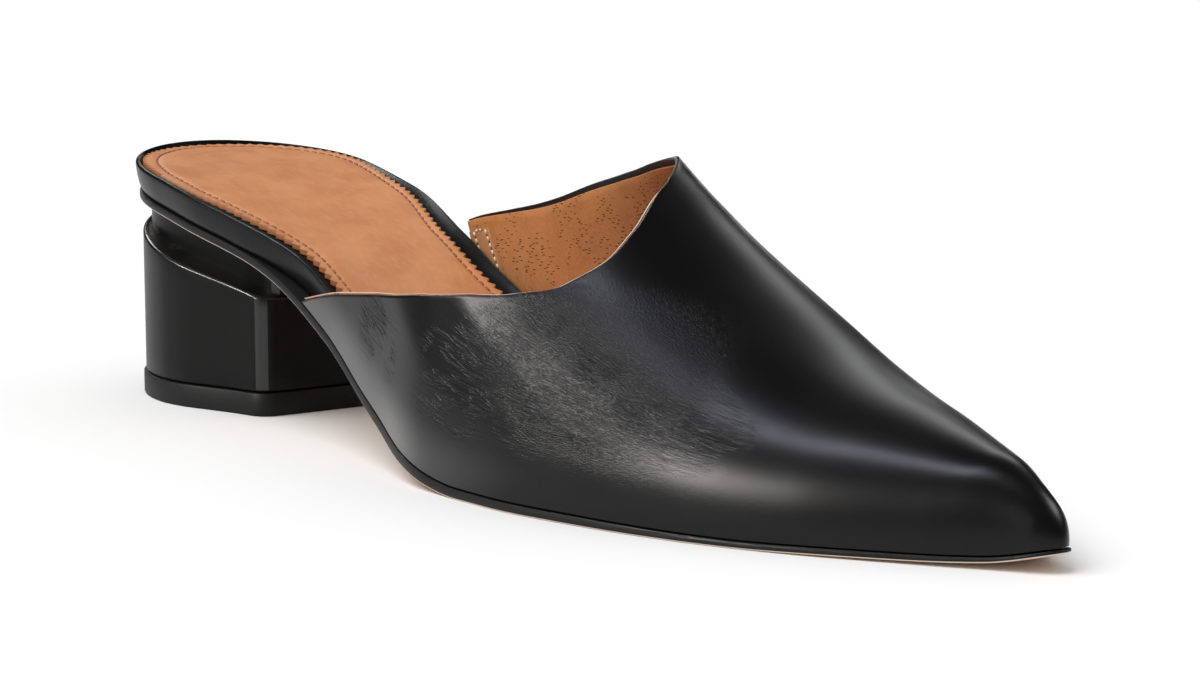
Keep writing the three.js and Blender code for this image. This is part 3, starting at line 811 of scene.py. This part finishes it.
def buildOutsole():
    s = outsoleSettings
    r = s["round"]

    def part(t, lift=0.0):
        return lambda x: lerp(soleBottom(x), outsoleTop(x), t) + lift

    def setIn(amount):
        return lambda x, side: amount

    rows = [(1, setIn(r), part(0)), (0.5, setIn(r), part(0)), (0, setIn(r), part(0)),
            (0, setIn(0.3 * r), part(0, 0.3 * r)), (0, setIn(0.0), part(0, 0.8 * r)),
            (0, setIn(0.0), part(0.42)), (0, setIn(0.0), part(0.66)),
            (0, setIn(0.3 * r), part(1, -0.3 * r)), (0, setIn(r), part(1)),
            (0.5, setIn(r), part(1)), (1, setIn(r), part(1))]
    bm = wrapOutline(rows, s["columns"])
    bmesh.ops.recalc_face_normals(bm, faces=bm.faces)
    # black edge, natural underside, and between them a pale line: the bare leather of the cut, made pale
    # partly as a painted highlight of the floor on the lower bevel
    for face in bm.faces:
        down = -face.normal.z
        face.material_index = 1 if down > s["underFacing"] else 2 if down > s["paleLineFacing"] else 0
    sole = finishMesh(bm, "outsolePiece", [edgeInk, soleUnderside, paleEdgeAndHighlight], 50)
    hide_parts("outsole")


# Footbed: black leather wrapped over the board, with a rounded rim and the sock's seat
footbedSettings = {
    "columns": 190, "seatDepth": 0.8, "seatLean": 0.5, "rimLean": 0.85, "rimLand": 0.12,
    "seatShares": (0, 0.08, 0.4, 1),
}


def buildFootbed():
    s = footbedSettings
    under, rim = last["rimUndercut"], last["rimRound"]
    seatInset = rim + s["seatDepth"] * s["seatLean"]

    def part(t, lift=0.0):
        return lambda x: lerp(footbedBottom(x), footbedTop(x), t) + lift

    def setIn(extra):
        return lambda x, side: footbedInset(x, side) + extra

    rows = [(1, setIn(under + 0.3), part(0)), (0, setIn(under + 0.3), part(0)),
            (0, setIn(under), part(0, 0.25)), (0, setIn(0.62 * under), part(0.2)),
            (0, setIn(0.28 * under), part(0.45)), (0, setIn(0.08 * under), part(0.68)),
            (0, setIn(0.0), part(1, -rim * 1.1))]
    for t in (0.33, 0.66, 1.0):
        angle = math.pi / 2 * t
        lean = rim * s["rimLean"] * (1 - math.cos(angle))
        rows.append((0, setIn(lean), part(1, -rim * (1 - math.sin(angle)))))
    firstDished = len(rows)
    rows.append((0, setIn(rim + s["rimLand"]), part(1, -s["rimLand"])))

    def seatEdge(x, side):
        return footbedInset(x, side) + seatInset + sockDraw(x, side)

    for share in s["seatShares"]:
        rows.append((share, seatEdge, part(1, -s["seatDepth"])))

    def dish(x, y, j):
        return acrossDish(x, y) if j >= firstDished else 0.0

    bed = finishMesh(wrapOutline(rows, s["columns"], dish=dish), "footbedWrap", [wrapLeather], 50)
    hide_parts("footbed")
    return seatInset


# Sock: pinked edge, a stitched groove and a shallow hollow
sockSettings = {
    "pitch": 2.45, "depth": 1.15, "toe": 20.0, "thickness": 0.85, "margin": 0.15,
    "stitchInset": 2.5, "stitchPitch": 2.3, "grooveDepth": 0.28, "puff": 0.12,
    "stitch": (1.70, 0.56, 0.38), "stitchRise": 0.16, "stitchUntil": 0.93, "toothedRows": (2, 3, 4),
}


def sockTop(x):
    seat = footbedTop(x) - footbedSettings["seatDepth"]
    return seat + last["seam"] + sockSettings["thickness"] * slopeStretch(x)


def sockEdge():
    # length of the sock's edge along one side
    return evenShares(10, 0.0, sockSettings["toe"])[1]


def buildSock(seatInset):
    s = sockSettings
    teethCount = 2 * round(sockEdge() / s["pitch"])
    base = seatInset + s["margin"]

    def setIn(extra):
        return lambda x, side: footbedInset(x, side) + sockDraw(x, side) + base + extra

    def top(lift):
        return lambda x: sockTop(x) + lift

    def bottom(x):
        return footbedTop(x) - footbedSettings["seatDepth"] + 0.12

    g = s["stitchInset"]
    rows = [(1, setIn(0), bottom), (0, setIn(1.5), bottom), (0, setIn(0.05), bottom),
            (0, setIn(0), top(-0.1)), (0, setIn(0.1), top(-0.02)), (0, setIn(1.2), top(0.03)),
            (0, setIn(g - 1.1), top(0.05)), (0, setIn(g - 0.55), top(-0.02)),
            (0, setIn(g - 0.25), top(-0.18)), (0, setIn(g), top(-s["grooveDepth"])),
            (0, setIn(g + 0.25), top(-0.18)),
            (0, setIn(g + 0.6), top(0.0)), (0, setIn(g + 1.3), top(s["puff"])),
            (0, setIn(g + 3), top(s["puff"])), (0, setIn(g + 5.5), top(0.03)),
            (0.45, setIn(0), top(0)), (0.7, setIn(0), top(0)), (1, setIn(0), top(0))]
    bm = wrapOutline(rows, teethCount, toeStop=s["toe"], dish=lambda x, y, j: acrossDish(x, y),
                     teeth={"depth": s["depth"], "rows": s["toothedRows"]})
    sock = finishMesh(bm, "sockLeather", [sockTan], 38)
    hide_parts("sock")
    return base


def addStitch(bm, middle, tangent, normal, length, width, height):
    # one thread loop, as a small flattened bead
    side = normal.cross(tangent).normalized()
    up = tangent.cross(side).normalized()
    turn = Matrix((tangent, side, up)).transposed().to_4x4()
    size = Matrix.Diagonal((length / 2, width / 2, height / 2, 1.0))
    lying = Matrix.Rotation(math.pi / 2, 4, "Y")
    bmesh.ops.create_uvsphere(bm, u_segments=8, v_segments=5, radius=mm,
                              matrix=Matrix.Translation(middle) @ turn @ size @ lying)


def buildSockStitches(base):
    s = sockSettings
    bm = bmesh.new()
    count = round(sockEdge() / s["stitchPitch"])
    shares = evenShares(count, 0.0, s["toe"])[0]

    def spot(side, share):
        x0 = planStation(share, 0.0, s["toe"])[0]
        inset = footbedInset(x0, side) + sockDraw(x0, side) + base + s["stitchInset"]
        x, low, high = planStation(share, inset, s["toe"])
        y = low if side < 0 else high
        return place((x, y, sockTop(x) - acrossDish(x, y) - s["grooveDepth"] + s["stitchRise"]))

    for side in (-1, 1):
        for k in range(count):
            ends = shares[side][k], shares[side][k + 1]
            share = sum(ends) / 2
            a, b = (spot(side, lerp(share, end, 0.4)) for end in ends)
            if (b - a).length > 0.2 * mm and share < s["stitchUntil"]:
                addStitch(bm, (a + b) / 2, (b - a).normalized(), Vector((0, 0, 1)), *s["stitch"])
    stitches = finishMesh(bm, "sockStitches", [sockThread], 80)


def buildUpper():
    s = upperSettings
    bm = wrapWall(s["rows"], s["columns"], 0.0, s["outerLeather"], lambda girth: s["edgeRound"],
                  s["edgeRound"], s["edgeRows"])
    leather = finishMesh(bm, "upperLeather", [upperLeather, inkedEdge], 60)
    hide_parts("upper")


liningSettings = {"rows": 60, "columns": 120, "edgeRows": 3, "edgeRound": 0.2, "paleUntil": 0.90}
# how far the lining stops short of the leather's edge, by girth; below 0 it stands a little proud
trimRows = [
    (0.00, -0.55), (0.20, -0.75), (0.40, -0.60), (0.49, -0.10), (0.53, 0.30), (0.60, 1.40),
    (0.70, 1.30), (0.76, 1.35), (0.82, 1.70), (0.88, 1.60), (0.94, 1.20), (1.00, 0.60),
]
liningTrim = curveThrough(trimRows)


def buildLining():
    s = liningSettings
    outer = upperSettings["outerLeather"] + upperSettings["liningGap"]
    bm = wrapWall(s["rows"], s["columns"], outer, last["wall"],
                  lambda girth: liningTrim(girth) + s["edgeRound"], s["edgeRound"], s["edgeRows"])
    sheet = bm.loops.layers.uv["leather"]
    for face in bm.faces:
        if face.loops[0][sheet].uv.x > s["paleUntil"]:  # only the lateral edge is left pale
            face.material_index = 0
    lining = finishMesh(bm, "liningLeather", [liningTan, paleEdgeAndHighlight], 60)
    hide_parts("upper")


# Stay: a strip over the lining along the short back edge, held by two rows of large stitches
staySettings = {
    "from": 0.5, "to": 12.6, "proud": 0.12, "rows": ((3.4, 105.0), (10.5, 70.0)),
    "pitch": 1.62, "stitch": (1.12, 0.60, 0.50), "hole": (0.62, 0.40, 0.16), "topInset": 0.0075,
    "thickness": 0.3, "down": 0.96, "press": 0.10, "pressAt": (3.8, 11.0), "pressWidth": 0.6,
    "edgeDrop": 0.1, "edgeRun": (0.4, 0.5), "sewFrom": 0.02, "sewTo": 0.97,
}


def stayTop(across):
    # girth where a line that runs beside the back edge leaves the topline
    low, high = 0.8, 0.98
    for _ in range(30):
        middle = (low + high) / 2
        if toplineBegin(middle) > backEdge(middle) + across:
            low = middle
        else:
            high = middle
    return high + staySettings["topInset"]


def stayPoint(across, share, depth, fan=0.0):
    # share runs from the topline to the sole; fan lets a row drift from the edge on its way down
    top = stayTop(across)
    girth = lerp(top, 1.0, share)
    x = backEdge(girth) + across + fan * max(0.0, girth - top)
    return upperPoint(shareAt(x), girth, depth, False)


def buildStay():
    s = staySettings
    bm = bmesh.new()
    bmesh.ops.create_grid(bm, x_segments=44, y_segments=30, size=0.5)
    for vert in bm.verts:
        # the strip is pressed in along its two seams and lies lower at its edges
        across = lerp(s["from"], s["to"], vert.co.x + 0.5)
        share = lerp(0.0, s["down"], vert.co.y + 0.5)
        sunk = sum(s["press"] * hill(across, seam, s["pressWidth"]) for seam in s["pressAt"])
        edge = 1 - ramp(across, s["from"], s["from"] + s["edgeRun"][0])
        edge += ramp(across, s["to"] - s["edgeRun"][1], s["to"])
        depth = last["wall"] + s["proud"] - sunk - s["edgeDrop"] * edge
        vert.co = place(stayPoint(across, share, depth))
    bmesh.ops.recalc_face_normals(bm, faces=bm.faces)
    if sum((face.normal * face.calc_area() for face in bm.faces), Vector()).y > 0:
        bmesh.ops.reverse_faces(bm, faces=bm.faces)
    bmesh.ops.solidify(bm, geom=bm.faces[:] + bm.edges[:] + bm.verts[:], thickness=s["thickness"] * mm)
    stay = finishMesh(bm, "stayStrip", [stayTan], 45)


def buildStayStitches():
    s = staySettings
    bm = bmesh.new()
    inward = Vector((0.1, -1, 0)).normalized()

    def sew(run):
        # a stitch and a hole by turns, half a pitch apart; each hole is a dark bead of painted shade
        travelled = [0.0]
        for a, b in zip(run, run[1:]):
            travelled.append(travelled[-1] + (b - a).length)
        for k in range(2 * int(travelled[-1] / s["pitch"])):
            want = (k / 2 + 0.35) * s["pitch"]
            i = min(max(bisect.bisect_left(travelled, want), 1), len(run) - 1)
            a, b = run[i - 1], run[i]
            middle = a.lerp(b, (want - travelled[i - 1]) / (travelled[i] - travelled[i - 1]))
            before = len(bm.faces)
            addStitch(bm, place(middle), (b - a).normalized(), inward, *s["hole" if k % 2 else "stitch"])
            bm.faces.ensure_lookup_table()
            for face in bm.faces[before:]:
                face.material_index = k % 2

    depth = last["wall"] + s["proud"] - 0.02
    for across, fan in s["rows"]:
        sew([stayPoint(across, lerp(s["sewFrom"], s["sewTo"], i / 60), depth, fan) for i in range(61)])
    (first, _), (second, _) = s["rows"]
    sew([stayPoint(lerp(first + 1.2, second - 0.2, i / 12), s["sewFrom"], depth) for i in range(13)])
    stitches = finishMesh(bm, "stayStitches", [creamThread, stitchHoleShade], 80)


buildHeel()
buildOutsole()
seatInset = buildFootbed()
print("heel, outsole and footbed made")
buildSockStitches(buildSock(seatInset))
print("sock made")
buildUpper()
buildLining()
buildStay()
buildStayStitches()
print("upper and lining made")


# Floor, light and camera
stageSettings = {
    "floor": 9.0, "floorColour": (0.90, 0.90, 0.90), "aim": Vector((0.02, 0.0, 0.02)),
    "evenStrength": 1.9, "evenSpread": 50.0, "evenFrom": (-0.20, -0.45, 1.0), "worldStrength": 0.62,
}


def addFloor():
    bm = bmesh.new()
    bmesh.ops.create_grid(bm, x_segments=1, y_segments=1, size=stageSettings["floor"] / 2)
    mesh = bpy.data.meshes.new("floor")
    bm.to_mesh(mesh)
    bm.free()
    floor = bpy.data.objects.new("floor", mesh)
    bpy.context.scene.collection.objects.link(floor)
    f = Finish("white floor")
    f.set(Base_Color=stageSettings["floorColour"], Roughness=0.75, Specular_IOR_Level=0.0)
    mesh.materials.append(f.material)


# soft boxes: name, direction and height angle from the shoe, distance, width, height, watts, colour
softBoxes = [
    ("sideBox", -98.0, 24.0, 1.5, 0.52, 0.44, 26.0, (1.0, 0.96, 0.93)),
    ("quarterBox", -122.0, 31.0, 1.5, 0.28, 0.30, 10.0, (1.0, 0.97, 0.95)),
    ("topBox", -116.0, 76.0, 1.5, 0.24, 0.42, 6.6, (0.82, 0.85, 1.0)),
    ("backBox", 122.0, 29.0, 1.6, 0.50, 0.28, 1.5, (0.97, 0.98, 1.0)),
    ("heelBox", 172.0, 34.0, 1.6, 0.50, 0.26, 4.5, (1.0, 0.99, 0.98)),
    ("rimBox", 142.0, 6.0, 1.6, 0.80, 0.16, 1.4, (1.0, 1.0, 1.0)),
    ("innerBox", 62.0, 38.0, 1.7, 0.80, 0.50, 11.0, (1.0, 1.0, 1.0)),
]


def addLamp(name, light, direction):
    lamp = bpy.data.objects.new(name, light)
    lamp.rotation_mode = "QUATERNION"
    lamp.rotation_quaternion = (-direction).to_track_quat("-Z", "Y")
    bpy.context.scene.collection.objects.link(lamp)
    return lamp


def addLamps():
    for name, turn, rise, distance, width, height, watts, colour in softBoxes:
        turn, rise = math.radians(turn), math.radians(rise)
        flat = math.cos(rise)
        direction = Vector((math.cos(turn) * flat, math.sin(turn) * flat, math.sin(rise)))
        light = bpy.data.lights.new(name, "AREA")
        light.shape = "RECTANGLE"
        light.size, light.size_y = width, height
        light.energy = watts
        light.color = colour
        lamp = addLamp(name, light, direction)
        lamp.location = direction * distance + stageSettings["aim"]
        lamp.visible_diffuse = False  # only mirrored; the even light below does the rest
    # even light for the tan leather and the floor, which isn't mirrored in the black leather
    sun = bpy.data.lights.new("evenLight", "SUN")
    sun.energy = stageSettings["evenStrength"]
    sun.angle = math.radians(stageSettings["evenSpread"])
    even = addLamp("evenLight", sun, Vector(stageSettings["evenFrom"]).normalized())
    even.visible_glossy = False
    world = bpy.data.worlds.new("studio")
    world.use_nodes = True
    background = world.node_tree.nodes["Background"]
    background.inputs[0].default_value = (1.0, 1.0, 1.0, 1.0)
    background.inputs[1].default_value = stageSettings["worldStrength"]
    world.cycles_visibility.glossy = False
    bpy.context.scene.world = world


# place in millimetres, angles in degrees; the others are pixels of a picture 1200 wide and 700 high
cameraSettings = {
    "place": (447.047, -341.154, 110.141), "yaw": 49.510, "pitch": 8.892, "roll": 0.378,
    "pixels": 2993.59, "offset": (-23.257, -6.0), "shoeMiddle": (468.5, 351.5),
    "picture": (1200, 700), "sensor": 36.0,
}


def addCamera():
    s = cameraSettings
    yaw, pitch, roll = (math.radians(s[key]) for key in ("yaw", "pitch", "roll"))
    flat = math.cos(pitch)
    forward = Vector((-math.sin(yaw) * flat, math.cos(yaw) * flat, -math.sin(pitch)))
    right = Vector((math.cos(yaw), math.sin(yaw), 0))
    up = right.cross(forward)
    cosRoll, sinRoll = math.cos(roll), math.sin(roll)
    right, up = cosRoll * right + sinRoll * up, cosRoll * up - sinRoll * right
    # turned about its own place until the shoe stands in the middle of the picture
    wide, high = s["picture"]
    sideways = (s["shoeMiddle"][0] - wide / 2 - s["offset"][0]) / s["pixels"]
    upwards = (high / 2 + s["offset"][1] - s["shoeMiddle"][1]) / s["pixels"]
    forward = (forward + sideways * right + upwards * up).normalized()
    right = (right - right.dot(forward) * forward).normalized()
    up = right.cross(forward)
    camera = bpy.data.cameras.new("camera")
    camera.sensor_width = s["sensor"]
    camera.lens = s["sensor"] * s["pixels"] / wide
    camera.clip_start, camera.clip_end = 0.05, 30.0
    eye = bpy.data.objects.new("camera", camera)
    spot = Vector(s["place"]) * mm
    eye.matrix_world = Matrix(((right.x, up.x, -forward.x, spot.x), (right.y, up.y, -forward.y, spot.y),
                               (right.z, up.z, -forward.z, spot.z), (0, 0, 0, 1)))
    bpy.context.scene.collection.objects.link(eye)
    bpy.context.scene.camera = eye


addFloor()
addLamps()
addCamera()
bpy.context.scene.view_settings.view_transform = "Standard"
print("stage ready")
